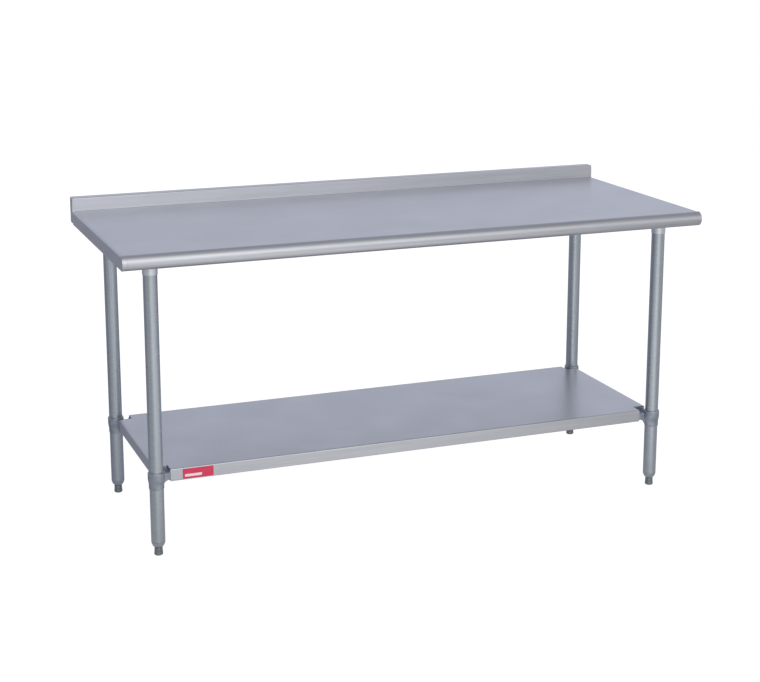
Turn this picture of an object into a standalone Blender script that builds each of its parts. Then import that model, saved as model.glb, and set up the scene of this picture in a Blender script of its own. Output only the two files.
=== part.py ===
"""Stainless work table with a rear riser, a rolled front rim and an adjustable undershelf.

Units are metres and +Z is up. The origin is on the floor under the middle of the top. +X runs along
the length to the right, and -Y is the side that a person works at.
"""

import math

import bmesh
import bpy
from mathutils import Matrix, Vector

INCH = 0.0254
GAP = 0.0003  # between pieces that touch
MERGE = 0.00001
SIDES = 24  # round a turned piece
SMALL_SIDES = 16  # round a fastener

# Driving dimensions
TABLE_LENGTH = 72 * INCH
TABLE_DEPTH = 30 * INCH
WORK_HEIGHT = 36 * INCH
SHELF_HEIGHT = 10.06 * INCH
LEG_DIAMETER = 1.625 * INCH
LEG_INSET_END = 0.0970
LEG_INSET_FRONT = 0.0965
LEG_INSET_REAR = 0.1115

# Sheet metal
TOP_GAUGE = 0.0015
SHELF_GAUGE = 0.0012
TUBE_WALL = 0.0015
RIM_RADIUS = 0.0220
RIM_RETURN = 0.012
RISER_HEIGHT = 0.0413
RISER_DEPTH = 0.0381
TURN_DOWN = 0.0392
END_ROUND = 0.006
RIM_CAP_LENGTH = 0.015
SHEET_BEND = 0.003
COVE_RADIUS = 0.002
HEM = 0.012
HEM_BEND = 0.0025
SHELF_SKIRT = 0.0374
SHELF_BEND = 0.0035
SHELF_INSET = 0.002  # of the skirts' outer faces from the lines between leg centres
SHELF_NOTCH = 0.041  # cut out of each corner, measured from the skirts' outer faces

# Channels under the top
CHANNEL_HEIGHT = 0.0254
CROSS_CROWN = 0.084
LONG_CROWN = 0.060
CHANNEL_BRIM = 0.022
PAD_THICKNESS = 0.0016
CROSS_LENGTH = 0.650
STUD_RADIUS = 0.003
STUD_LENGTH = 0.014
NUT_ACROSS = 0.010
NUT_HEIGHT = 0.005

# Leg sockets, collars and their screws
SOCKET_RADIUS = 0.0221
SOCKET_FLANGE_RADIUS = 0.034
SOCKET_FLANGE = 0.0035
SOCKET_BOTTOM = 33 * INCH
SOCKET_SCREW_DEPTH = 0.0165
COLLAR_TOP_RADIUS = 0.0248
COLLAR_BOTTOM_RADIUS = 0.0223
COLLAR_HEIGHT = 0.051
COLLAR_DROP = 0.0010  # of the collar's top below the shelf's surface
FIN_THICKNESS = 0.008
FIN_REACH = 0.066
FIN_HEIGHT = 0.032
FIN_SWEEP = 0.017
FIN_SADDLE = 0.011  # of a fin's top inside the shelf's notch, below the collar's top
WEB_THICKNESS = 0.004
WEB_DEPTH = 0.022
GUSSET_STEP = 0.001  # of the gusset inside the web, below the fins' saddle and above the web's bottom
COLLAR_SCREW_DEPTH = 0.032
BOSS_RADIUS = 0.0075
BOSS_REACH = 0.031
SCREW_RADIUS = 0.004
SCREW_LENGTH = 0.0105
HEX_RADIUS = 0.0023
HEX_DEPTH = 0.005

# Adjustable feet
TAPER_TOP = 0.0415
TAPER_BOTTOM = 0.0265
TAPER_END_RADIUS = 0.0138
PLUG_TOP = 0.078
STEM_RADIUS = 0.006
STEM_TOP = 0.072
STEM_BOTTOM = 0.0103
FOOT_TOP_RADIUS = 0.0119
FOOT_BOTTOM_RADIUS = 0.0131
FOOT_NECK_RADIUS = 0.0095
FOOT_SHOULDER = 0.0238
FOOT_EDGE = 0.0040

# Blank plate on the shelf's front
LABEL_SIZE = (0.092, 0.030)
LABEL_THICKNESS = 0.0006
LABEL_CORNER = 0.002
LABEL_CENTRE_X = -0.6925

# Derived places
LEG_RADIUS = LEG_DIAMETER / 2
BORE_RADIUS = LEG_RADIUS + GAP
LEG_X = TABLE_LENGTH / 2 - LEG_INSET_END
FRONT_LEG_Y = -TABLE_DEPTH / 2 + LEG_INSET_FRONT
REAR_LEG_Y = TABLE_DEPTH / 2 - LEG_INSET_REAR
MID_LEG_Y = (FRONT_LEG_Y + REAR_LEG_Y) / 2
STRIP_END = TABLE_LENGTH / 2 - END_ROUND
RISER_FACE_Y = TABLE_DEPTH / 2 - RISER_DEPTH
PAD_TOP = WORK_HEIGHT - TOP_GAUGE - GAP
BRIM_TOP = PAD_TOP - PAD_THICKNESS - GAP
CROWN_BOTTOM = BRIM_TOP - CHANNEL_HEIGHT
SOCKET_TOP = CROWN_BOTTOM - GAP
COLLAR_TOP = SHELF_HEIGHT - COLLAR_DROP
SHELF_HALF_X = LEG_X - SHELF_INSET
SHELF_HALF_Y = (REAR_LEG_Y - FRONT_LEG_Y) / 2 - SHELF_INSET
CHANNEL_HALF_WIDTH = CROSS_CROWN / 2 + CHANNEL_BRIM
ROLL_CENTRE = (-TABLE_DEPTH / 2 + RIM_RADIUS, WORK_HEIGHT - RIM_RADIUS)  # y and z
COVE_CENTRE = (RISER_FACE_Y - COVE_RADIUS, WORK_HEIGHT + COVE_RADIUS)

# Each corner: its x and y, and the quarter turns that take the front left one's shape to it
CORNERS = {
    "front_left": (-LEG_X, FRONT_LEG_Y, 0),
    "front_right": (LEG_X, FRONT_LEG_Y, 1),
    "rear_right": (LEG_X, REAR_LEG_Y, 2),
    "rear_left": (-LEG_X, REAR_LEG_Y, 3),
}


def clear_scene():
    for old in list(bpy.data.objects):
        bpy.data.objects.remove(old)


def new_collection(name):
    collection = bpy.data.collections.new(name)
    bpy.context.scene.collection.children.link(collection)
    return collection


def metal(name, colour, roughness, metallic=1.0):
    material = bpy.data.materials.new(name)
    material.use_nodes = True
    shader = material.node_tree.nodes["Principled BSDF"]
    shader.inputs["Base Color"].default_value = (*colour, 1.0)
    shader.inputs["Roughness"].default_value = roughness
    shader.inputs["Metallic"].default_value = metallic
    return material


def arc(centre, radius, start, end, steps):
    """Points on an arc in a plane, with its angles in degrees."""
    points = []
    for step in range(steps + 1):
        angle = math.radians(start + (end - start) * step / steps)
        points.append((centre[0] + radius * math.cos(angle), centre[1] + radius * math.sin(angle)))
    return points


def place(name, mesh, material, location=(0, 0, 0), quarter_turns=0):
    """Adds a sub-part that shows the mesh."""
    obj = bpy.data.objects.new(name, mesh)
    obj.location = location
    obj.rotation_euler.z = quarter_turns * math.pi / 2
    parts.objects.link(obj)
    if not mesh.materials:
        mesh.materials.append(material)
    return obj


def helper(name, mesh):
    """Adds a cutter or a prototype, which isn't a sub-part."""
    obj = bpy.data.objects.new(name, mesh)
    obj.hide_render = True
    obj.display_type = "WIRE"
    helpers.objects.link(obj)
    return obj


def mesh_from(bm, name):
    mesh = bpy.data.meshes.new(name)
    bm.to_mesh(mesh)
    bm.free()
    return mesh


def baked(obj, *cutters):
    """The shape of a prototype with its modifiers applied. The prototype and its cutters go."""
    bpy.context.view_layer.update()
    depsgraph = bpy.context.evaluated_depsgraph_get()
    mesh = bpy.data.meshes.new_from_object(obj.evaluated_get(depsgraph))
    for used in (obj, *cutters):
        bpy.data.objects.remove(used)
    bm = bmesh.new()
    bm.from_mesh(mesh)
    bmesh.ops.remove_doubles(bm, verts=bm.verts, dist=MERGE)
    bmesh.ops.recalc_face_normals(bm, faces=bm.faces)
    bm.to_mesh(mesh)
    bm.free()
    mesh.shade_smooth()
    mesh.set_sharp_from_angle(angle=math.radians(35))
    return mesh


def boolean(obj, other, operation):
    modifier = obj.modifiers.new(operation.lower(), "BOOLEAN")
    modifier.operation = operation
    modifier.solver = "EXACT"
    modifier.object = other


def turned(name, profile, sides=SIDES, closed=True):
    """A turned shape from (radius, height) points, down the outer side first."""
    bm = bmesh.new()
    points = [bm.verts.new((radius, 0, height)) for radius, height in profile]
    for first, second in zip(points, points[1:]):
        bm.edges.new((first, second))
    if closed:
        bm.edges.new((points[-1], points[0]))
    obj = helper(name + "_profile", mesh_from(bm, name + "_profile"))
    screw = obj.modifiers.new("turn", "SCREW")
    screw.steps = sides
    screw.render_steps = sides
    screw.use_merge_vertices = True
    screw.merge_threshold = MERGE
    return baked(obj)


def flat_outline(name, points, thickness):
    """A plate from an outline in XY, centred on its thickness in Z."""
    curve = bpy.data.curves.new(name, "CURVE")
    curve.dimensions = "2D"
    curve.fill_mode = "BOTH"
    curve.extrude = thickness / 2
    spline = curve.splines.new("POLY")
    spline.points.add(len(points) - 1)
    for target, (x, y) in zip(spline.points, points):
        target.co = (x, y, 0, 1)
    spline.use_cyclic_u = True
    obj = bpy.data.objects.new(name, curve)
    helpers.objects.link(obj)
    mesh = baked(obj)
    bpy.data.curves.remove(curve)
    return mesh


def cylinder(name, radius, length, sides=SMALL_SIDES):
    """A cylinder along +Z that starts at its origin."""
    bm = bmesh.new()
    bmesh.ops.create_cone(
        bm,
        cap_ends=True,
        segments=sides,
        radius1=radius,
        radius2=radius,
        depth=length,
        matrix=Matrix.Translation((0, 0, length / 2)),
    )
    return mesh_from(bm, name)


def along(obj, direction, start):
    """Turns a helper's +Z to the direction and moves its origin to start."""
    obj.rotation_mode = "QUATERNION"
    obj.rotation_quaternion = Vector(direction).to_track_quat("Z", "Y")
    obj.location = start
    return obj


def round_edges(obj, chosen, radius, segments):
    """Bevels the mesh edges for which chosen(first end, second end) is true."""
    bm = bmesh.new()
    bm.from_mesh(obj.data)
    weight = bm.edges.layers.float.new("bevel_weight_edge")
    for edge in bm.edges:
        edge[weight] = float(chosen(edge.verts[0].co, edge.verts[1].co))
    bm.to_mesh(obj.data)
    bm.free()
    bevel = obj.modifiers.new("round", "BEVEL")
    bevel.limit_method = "WEIGHT"
    bevel.width = radius
    bevel.segments = segments


def solidify(obj, gauge):
    sheet = obj.modifiers.new("gauge", "SOLIDIFY")
    sheet.thickness = gauge
    sheet.offset = -1
    sheet.use_even_offset = True


def fold_profile(bend, drop):
    """(out, down) points of an edge bent down by drop and turned in again, from the bend's start."""
    down = [(x, bend - z) for x, z in arc((0, 0), bend, 90, 0, 5)]
    turn_in = [(x, drop - HEM_BEND - z) for x, z in arc((bend - HEM_BEND, 0), HEM_BEND, 0, -90, 3)]
    return down[1:] + turn_in + [(bend - HEM, drop)]


def fold_down(bm, edges, outward, bend, drop):
    """Extrudes the boundary edges along the fold profile, out and then down."""
    previous = (0.0, 0.0)
    for out, down in fold_profile(bend, drop):
        grown = bmesh.ops.extrude_edge_only(bm, edges=edges)["geom"]
        moved = [item for item in grown if isinstance(item, bmesh.types.BMVert)]
        edges = [item for item in grown if isinstance(item, bmesh.types.BMEdge)]
        step = Vector(outward) * (out - previous[0]) - Vector((0, 0, down - previous[1]))
        bmesh.ops.translate(bm, verts=moved, vec=step)
        edges = [edge for edge in edges if all(vert in moved for vert in edge.verts)]
        previous = (out, down)


def face_upward(bm):
    """Turns an open sheet so that its flat top faces up."""
    bmesh.ops.recalc_face_normals(bm, faces=bm.faces)
    top = max(bm.faces, key=lambda face: face.calc_area())
    if top.normal.z < 0:
        bmesh.ops.reverse_faces(bm, faces=bm.faces)


def top_section():
    """(y, z) points of the top's sheet from the rim's return, over the roll, to the rear hem."""
    back = TABLE_DEPTH / 2
    riser_top = WORK_HEIGHT + RISER_HEIGHT
    hem_z = WORK_HEIGHT - TURN_DOWN
    front_bend = (RISER_FACE_Y + SHEET_BEND, riser_top - SHEET_BEND)
    back_bend = (back - SHEET_BEND, riser_top - SHEET_BEND)
    hem_bend = (back - HEM_BEND, hem_z + HEM_BEND)
    points = [(ROLL_CENTRE[0] + RIM_RETURN, WORK_HEIGHT - 2 * RIM_RADIUS)]
    points += arc(ROLL_CENTRE, RIM_RADIUS, 270, 90, 20)
    points += arc(COVE_CENTRE, COVE_RADIUS, -90, 0, 3)
    points += arc(front_bend, SHEET_BEND, 180, 90, 4)
    points += arc(back_bend, SHEET_BEND, 90, 0, 4)
    points += arc(hem_bend, HEM_BEND, 0, -90, 3)
    points.append((back - HEM, hem_z))
    return points


def make_worktop():
    bm = bmesh.new()
    verts = [bm.verts.new((-STRIP_END, y, z)) for y, z in top_section()]
    section = [bm.edges.new(pair) for pair in zip(verts, verts[1:])]
    grown = bmesh.ops.extrude_edge_only(bm, edges=section)["geom"]
    far_side = [item for item in grown if isinstance(item, bmesh.types.BMVert)]
    bmesh.ops.translate(bm, verts=far_side, vec=(2 * STRIP_END, 0, 0))
    for side in (-1, 1):
        ends = [
            edge
            for edge in bm.edges
            if edge.is_boundary
            and all(vert.co.x * side > STRIP_END - MERGE for vert in edge.verts)
            and all(abs(vert.co.z - WORK_HEIGHT) < MERGE for vert in edge.verts)
        ]
        fold_down(bm, ends, (side, 0, 0), END_ROUND, TURN_DOWN)
    face_upward(bm)
    worktop = place("worktop", mesh_from(bm, "worktop"), STAINLESS)
    solidify(worktop, TOP_GAUGE)
    for side in (-1, 1):
        cutter = helper(f"roll_trim_{side}", box_mesh("roll_trim", (0.05, 0.06, 0.10)))
        cutter.location = (
            side * (TABLE_LENGTH / 2 - RIM_CAP_LENGTH + 0.025),
            ROLL_CENTRE[0] - 0.03,
            ROLL_CENTRE[1],
        )
        boolean(worktop, cutter, "DIFFERENCE")


def box_mesh(name, size):
    bm = bmesh.new()
    bmesh.ops.create_cube(bm, size=1)
    bmesh.ops.scale(bm, vec=size, verts=bm.verts)
    return mesh_from(bm, name)


def end_plate(name, side, outline, thickness, chosen, radius):
    """A plate flush with one end of the top, from (y, z) points, with chosen outer edges rounded."""
    mesh = flat_outline(name, outline, thickness)
    # The outline's x and y become the table's y and z, and its thickness lies along x.
    mesh.transform(Matrix(((0, 0, 1, 0), (1, 0, 0, 0), (0, 1, 0, 0), (0, 0, 0, 1))))
    plate = place(name, mesh, STAINLESS, (side * (TABLE_LENGTH - thickness) / 2, 0, 0))
    outer = side * thickness / 2

    def rounded(first, second):
        on_face = abs(first.x - outer) < MERGE and abs(second.x - outer) < MERGE
        return on_face and chosen(first, second)

    round_edges(plate, rounded, radius, 4)


def make_rim_end_caps():
    """Closes the ends of the roll with D-shaped caps whose outer edge is rounded over."""
    gap_angle = math.degrees(GAP / RIM_RADIUS)
    outline = arc(ROLL_CENTRE, RIM_RADIUS, 90 + gap_angle, 270 - gap_angle, 20)

    def on_roll(first, second):
        return min(first.y, second.y) < ROLL_CENTRE[0] - 2 * GAP

    for name, side in (("rim_end_cap_left", -1), ("rim_end_cap_right", 1)):
        end_plate(name, side, outline, RIM_CAP_LENGTH - GAP, on_roll, END_ROUND)


def make_riser_end_caps():
    """Closes the ends of the riser with plates flush with its sheet and with the turned-down ends."""
    back = TABLE_DEPTH / 2
    riser_top = WORK_HEIGHT + RISER_HEIGHT
    bottom = WORK_HEIGHT - TURN_DOWN
    front = COVE_CENTRE[0] + GAP
    outline = [(back, bottom), (back, riser_top), (RISER_FACE_Y, riser_top)]
    outline += arc(COVE_CENTRE, COVE_RADIUS, 0, -70, 2)
    outline += [(front, WORK_HEIGHT - END_ROUND / 2), (front, bottom)]

    def away_from_turned_down_end(first, second):
        above = max(first.z, second.z) > WORK_HEIGHT + 2 * COVE_RADIUS
        behind = max(first.y, second.y) > RISER_FACE_Y + GAP
        return above or behind

    for name, side in (("riser_end_cap_left", -1), ("riser_end_cap_right", 1)):
        end_plate(name, side, outline, END_ROUND - GAP, away_from_turned_down_end, 0.0025)


def channel_mesh(name, crown, length, gauge):
    """The upper face of a hat channel along X, with its brims at z 0 and room for the gauge below."""
    half = crown / 2
    bend = 0.003
    floor = gauge - CHANNEL_HEIGHT
    points = [(-half - CHANNEL_BRIM, 0), (-half - bend, 0)]
    points += arc((-half - bend, -bend), bend, 90, 0, 3)[1:]
    points += arc((-half + bend, floor + bend), bend, 180, 270, 3)
    points += [(-y, z) for y, z in reversed(points)]
    bm = bmesh.new()
    verts = [bm.verts.new((-length / 2, y, z)) for y, z in points]
    section = [bm.edges.new(pair) for pair in zip(verts, verts[1:])]
    grown = bmesh.ops.extrude_edge_only(bm, edges=section)["geom"]
    far_side = [item for item in grown if isinstance(item, bmesh.types.BMVert)]
    bmesh.ops.translate(bm, verts=far_side, vec=(length, 0, 0))
    bmesh.ops.recalc_face_normals(bm, faces=bm.faces)
    brim = max(bm.faces, key=lambda face: face.calc_center_median().z)
    if brim.normal.z < 0:
        bmesh.ops.reverse_faces(bm, faces=bm.faces)
    return mesh_from(bm, name)


def drill(obj, spots, radius):
    """Cuts upright holes through a flat part of obj at the (x, y) spots."""
    for number, (x, y) in enumerate(spots):
        cutter = helper(f"{obj.name}_drill_{number}", cylinder("drill", radius, 0.06))
        cutter.location = (x, y, BRIM_TOP - 0.02)
        boolean(obj, cutter, "DIFFERENCE")


def make_channels():
    """The channels that stiffen the top, each on a sound-deadening pad, with weld studs and nuts."""
    inner_end = LEG_X - CHANNEL_HALF_WIDTH - 0.004
    cross_spots = CROSS_LENGTH / 2 - 0.03
    stud_offset = (CROSS_CROWN + CHANNEL_BRIM) / 2
    long_offset = (LONG_CROWN + CHANNEL_BRIM) / 2
    pieces = (
        ("left", -LEG_X, CROSS_CROWN, CROSS_LENGTH, 1),
        ("right", LEG_X, CROSS_CROWN, CROSS_LENGTH, 1),
        ("centre", 0, LONG_CROWN, 2 * inner_end, 0),
    )
    spots = {
        "left": [(-LEG_X - stud_offset, -cross_spots), (-LEG_X + stud_offset, cross_spots)],
        "right": [(LEG_X + stud_offset, -cross_spots), (LEG_X - stud_offset, cross_spots)],
        "centre": [(-inner_end / 2, -long_offset), (inner_end / 2, long_offset)],
    }
    number = 0
    for name, x, crown, length, turns in pieces:
        mesh = channel_mesh(name, crown, length, TOP_GAUGE)
        channel = place(f"top_channel_{name}", mesh, GALVANISED, (x, 0, BRIM_TOP), turns)
        solidify(channel, TOP_GAUGE)
        width = crown + 2 * CHANNEL_BRIM
        pad = place(
            f"sound_deadening_pad_{name}",
            box_mesh(name, (length, width, PAD_THICKNESS)),
            MASTIC,
            (x, 0, PAD_TOP - PAD_THICKNESS / 2),
            turns,
        )
        drill(channel, spots[name], STUD_RADIUS + GAP)
        drill(pad, spots[name], STUD_RADIUS + GAP)
        for stud_x, stud_y in spots[name]:
            number += 1
            stud = cylinder("weld_stud", STUD_RADIUS, STUD_LENGTH, 12)
            place(f"weld_stud_{number}", stud, ZINC_PLATE, (stud_x, stud_y, PAD_TOP - STUD_LENGTH))
            nut_z = BRIM_TOP - TOP_GAUGE - GAP - NUT_HEIGHT
            place(f"channel_nut_{number}", nut_mesh(), ZINC_PLATE, (stud_x, stud_y, nut_z))


def nut_mesh():
    nut = helper("nut", cylinder("channel_nut", NUT_ACROSS / math.sqrt(3), NUT_HEIGHT, 6))
    bore = helper("nut_bore", cylinder("nut_bore", STUD_RADIUS + GAP, 0.02, 12))
    bore.location.z = -0.005
    boolean(nut, bore, "DIFFERENCE")
    return baked(nut, bore)


def set_screw_mesh():
    """A set screw along +Z with a hexagon socket in its far end and a chamfered point."""
    chamfer = 0.0008
    profile = [
        (0, SCREW_LENGTH),
        (SCREW_RADIUS - chamfer / 2, SCREW_LENGTH),
        (SCREW_RADIUS, SCREW_LENGTH - chamfer / 2),
        (SCREW_RADIUS, chamfer),
        (SCREW_RADIUS - chamfer, 0),
        (0, 0),
    ]
    screw = helper("set_screw", turned("set_screw", profile, SMALL_SIDES, closed=False))
    socket = helper("hex_socket", cylinder("hex_socket", HEX_RADIUS, 0.02, 6))
    socket.location.z = SCREW_LENGTH - HEX_DEPTH
    boolean(screw, socket, "DIFFERENCE")
    return baked(screw, socket)


def sleeve(name, profile, boss_z, bore_top, fins=()):
    """A turned solid with a screw boss and fins joined to it, bored for the leg and for its screw."""
    inward = (1, 1, 0)
    body = helper(name, turned(name, profile, closed=False))
    boss = along(
        helper(name + "_boss", cylinder("boss", BOSS_RADIUS, BOSS_REACH)),
        inward,
        (0, 0, boss_z),
    )
    screw_hole = along(
        helper(name + "_screw_hole", cylinder("screw_hole", SCREW_RADIUS + GAP, 0.06)),
        inward,
        (0, 0, boss_z),
    )
    bore_bottom = profile[-1][1] - 0.01
    bore = helper(name + "_bore", cylinder("bore", BORE_RADIUS, bore_top - bore_bottom, SIDES))
    bore.location.z = bore_bottom
    for joined in (boss, *fins):
        boolean(body, joined, "UNION")
    for cutter in (bore, screw_hole):
        boolean(body, cutter, "DIFFERENCE")
    return baked(body, boss, screw_hole, bore, *fins)


def make_sockets():
    """Blind sockets welded to the cross channels, which take the tops of the legs."""
    height = SOCKET_TOP - SOCKET_BOTTOM
    lip = 0.0015
    profile = [(0, 0), (SOCKET_FLANGE_RADIUS, 0), (SOCKET_FLANGE_RADIUS, -SOCKET_FLANGE)]
    fillet = 0.004
    centre = (SOCKET_RADIUS + fillet, -SOCKET_FLANGE - fillet)
    profile += arc(centre, fillet, 90, 180, 2)
    profile += arc((SOCKET_RADIUS - lip, -height + lip), lip, 0, -90, 2)
    profile.append((0, -height))
    mesh = sleeve("leg_socket", profile, -SOCKET_SCREW_DEPTH, -SOCKET_FLANGE)
    for corner, (x, y, turns) in CORNERS.items():
        place(f"leg_socket_{corner}", mesh, STAINLESS, (x, y, SOCKET_TOP), turns)
        place_set_screw(f"socket_set_screw_{corner}", (x, y, SOCKET_TOP - SOCKET_SCREW_DEPTH), turns)


def place_set_screw(name, centre, turns):
    """Puts a set screw with its point against the leg, on the corner's inward diagonal."""
    inward = Matrix.Rotation(turns * math.pi / 2, 3, "Z") @ Vector((1, 1, 0)).normalized()
    screw = place(name, SET_SCREW, ZINC_PLATE)
    along(screw, inward, Vector(centre) + inward * (LEG_RADIUS + GAP))


def fin_outline():
    """(reach, height) points of a collar's fin, lower inside the notch and swept down to the collar."""
    low = -COLLAR_HEIGHT + 0.004
    inner = 0.012
    sweep_centre = (COLLAR_BOTTOM_RADIUS + FIN_SWEEP, -FIN_HEIGHT - FIN_SWEEP)
    sweep = arc(sweep_centre, FIN_SWEEP, 90, 165, 5)
    top = -SHELF_GAUGE - GAP
    notch = SHELF_INSET + SHELF_NOTCH
    saddle = [(inner, -FIN_SADDLE), (notch - 0.004, -FIN_SADDLE), (notch, top)]
    return [*saddle, (FIN_REACH, top), (FIN_REACH, -FIN_HEIGHT), *sweep, (inner, low)]


def web_outline(end):
    """(x, y) points of the web that joins a collar's fins behind the edges of the shelf's notch."""
    near = SHELF_INSET + SHELF_NOTCH + 0.0005
    far = near + WEB_THICKNESS
    return [(end, near), (near, near), (near, end), (far, end), (far, far), (end, far)]


def make_collars():
    """Cast collars that carry the shelf's corners and slide on the legs."""
    lip = 0.0018
    profile = [(0, 0), (COLLAR_TOP_RADIUS - lip, 0), (COLLAR_TOP_RADIUS, -lip)]
    profile += [(COLLAR_TOP_RADIUS, -COLLAR_HEIGHT * 0.42)]
    profile += [(COLLAR_BOTTOM_RADIUS, -COLLAR_HEIGHT * 0.72)]
    profile += [(COLLAR_BOTTOM_RADIUS, -COLLAR_HEIGHT), (0, -COLLAR_HEIGHT)]
    upright = Matrix.Rotation(math.pi / 2, 4, "X")
    skirt_back = SHELF_INSET + SHELF_GAUGE + GAP
    fins = []
    for number in (0, 1):
        mesh = flat_outline("fin", fin_outline(), FIN_THICKNESS)
        mesh.transform(upright)
        fin = helper(f"fin_{number}", mesh)
        offset = skirt_back + FIN_THICKNESS / 2
        fin.rotation_euler.z = number * math.pi / 2
        fin.location = (0, offset, 0) if number == 0 else (offset, 0, 0)
        fins.append(fin)
    web_top = -SHELF_GAUGE - 2 * GAP
    web_end = skirt_back + FIN_THICKNESS / 2
    web = helper("web", flat_outline("web", web_outline(web_end), WEB_DEPTH + web_top))
    web.location.z = (web_top - WEB_DEPTH) / 2
    gusset_end = SHELF_INSET + SHELF_NOTCH + WEB_THICKNESS / 2
    gusset_width = gusset_end - web_end
    gusset_height = WEB_DEPTH - FIN_SADDLE - 2 * GUSSET_STEP
    gusset = helper("gusset", box_mesh("gusset", (gusset_width, gusset_width, gusset_height)))
    gusset_middle = (web_end + gusset_end) / 2
    gusset.location = (gusset_middle, gusset_middle, -(WEB_DEPTH + FIN_SADDLE) / 2)
    mesh = sleeve("shelf_collar", profile, -COLLAR_SCREW_DEPTH, 0.01, [*fins, web, gusset])
    for corner, (x, y, turns) in CORNERS.items():
        place(f"shelf_collar_{corner}", mesh, CAST_ALUMINIUM, (x, y, COLLAR_TOP), turns)
        place_set_screw(f"collar_set_screw_{corner}", (x, y, COLLAR_TOP - COLLAR_SCREW_DEPTH), turns)


def make_legs():
    top = SOCKET_TOP - SOCKET_FLANGE - GAP
    bottom = TAPER_TOP + GAP
    inner = LEG_RADIUS - TUBE_WALL
    profile = [(LEG_RADIUS, top), (LEG_RADIUS, bottom), (inner, bottom), (inner, top)]
    mesh = turned("leg", profile)
    for corner, (x, y, _) in CORNERS.items():
        place(f"leg_{corner}", mesh, TUBE_STEEL, (x, y, 0))


def make_foot_inserts():
    """Bullet-shaped ends pressed into the legs, threaded for the feet."""
    plug = LEG_RADIUS - TUBE_WALL - GAP
    bore = STEM_RADIUS + GAP
    taper_mid = (TAPER_TOP + TAPER_BOTTOM) / 2
    profile = [
        (plug, PLUG_TOP),
        (plug, TAPER_TOP),
        (LEG_RADIUS, TAPER_TOP),
        (LEG_RADIUS - 0.0006, TAPER_TOP - 0.0025),
        ((LEG_RADIUS + TAPER_END_RADIUS) / 2 + 0.0004, taper_mid),
        (TAPER_END_RADIUS, TAPER_BOTTOM),
        (bore, TAPER_BOTTOM),
        (bore, PLUG_TOP),
    ]
    mesh = turned("leg_insert", profile)
    for corner, (x, y, _) in CORNERS.items():
        place(f"leg_insert_{corner}", mesh, STAINLESS, (x, y, 0))


def make_feet():
    """Feet that screw up and down in the inserts. Each stands on its own origin."""
    bore = STEM_RADIUS + GAP
    neck_top = TAPER_BOTTOM - GAP
    edge = arc((FOOT_BOTTOM_RADIUS - FOOT_EDGE, FOOT_EDGE), FOOT_EDGE, 0, -90, 3)
    profile = [
        (0, neck_top),
        (FOOT_NECK_RADIUS, neck_top),
        (FOOT_NECK_RADIUS, FOOT_SHOULDER),
        (FOOT_TOP_RADIUS - 0.001, FOOT_SHOULDER),
        (FOOT_TOP_RADIUS, FOOT_SHOULDER - 0.0012),
        *edge,
        (0, 0),
    ]
    blind_bottom = STEM_BOTTOM - GAP
    foot = helper("foot", turned("foot", profile, closed=False))
    hole = helper("stem_hole", cylinder("stem_hole", bore, 0.05, SMALL_SIDES))
    hole.location.z = blind_bottom
    boolean(foot, hole, "DIFFERENCE")
    foot_mesh = baked(foot, hole)
    chamfer = 0.0008
    stem_profile = [
        (0, STEM_TOP),
        (STEM_RADIUS - chamfer, STEM_TOP),
        (STEM_RADIUS, STEM_TOP - chamfer),
        (STEM_RADIUS, STEM_BOTTOM),
        (0, STEM_BOTTOM),
    ]
    stem_mesh = turned("foot_stem", stem_profile, SMALL_SIDES, closed=False)
    for corner, (x, y, _) in CORNERS.items():
        place(f"foot_{corner}", foot_mesh, FOOT_METAL, (x, y, 0))
        place(f"foot_stem_{corner}", stem_mesh, ZINC_PLATE, (x, y, 0))


def make_undershelf():
    """A shallow pan with notched corners, its four skirts turned down and hemmed."""
    half = (SHELF_HALF_X - SHELF_BEND, SHELF_HALF_Y - SHELF_BEND)
    notch = (SHELF_HALF_X - SHELF_NOTCH, SHELF_HALF_Y - SHELF_NOTCH)
    bm = bmesh.new()
    bmesh.ops.create_grid(bm, x_segments=3, y_segments=3, size=1)
    for vert in bm.verts:
        for axis in (0, 1):
            outer = abs(vert.co[axis]) > 0.9
            vert.co[axis] = math.copysign(half[axis] if outer else notch[axis], vert.co[axis])
    corners = [
        face
        for face in bm.faces
        if abs(face.calc_center_median().x) > notch[0] and abs(face.calc_center_median().y) > notch[1]
    ]
    bmesh.ops.delete(bm, geom=corners, context="FACES")
    for outward in ((-1, 0, 0), (1, 0, 0), (0, -1, 0), (0, 1, 0)):
        axis = 0 if outward[0] else 1
        limit = half[axis] - MERGE
        side = [
            edge
            for edge in bm.edges
            if edge.is_boundary and all(vert.co[axis] * outward[axis] > limit for vert in edge.verts)
        ]
        fold_down(bm, side, outward, SHELF_BEND, SHELF_SKIRT)
    face_upward(bm)
    shelf = place("undershelf", mesh_from(bm, "undershelf"), STAINLESS, (0, MID_LEG_Y, SHELF_HEIGHT))
    solidify(shelf, SHELF_GAUGE)
    channel_length = 2 * (SHELF_HALF_X - SHELF_NOTCH) - 0.02
    stiffener = place(
        "shelf_stiffener",
        channel_mesh("shelf_stiffener", LONG_CROWN, channel_length, SHELF_GAUGE),
        GALVANISED,
        (0, MID_LEG_Y, SHELF_HEIGHT - SHELF_GAUGE - GAP),
    )
    solidify(stiffener, SHELF_GAUGE)


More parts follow.
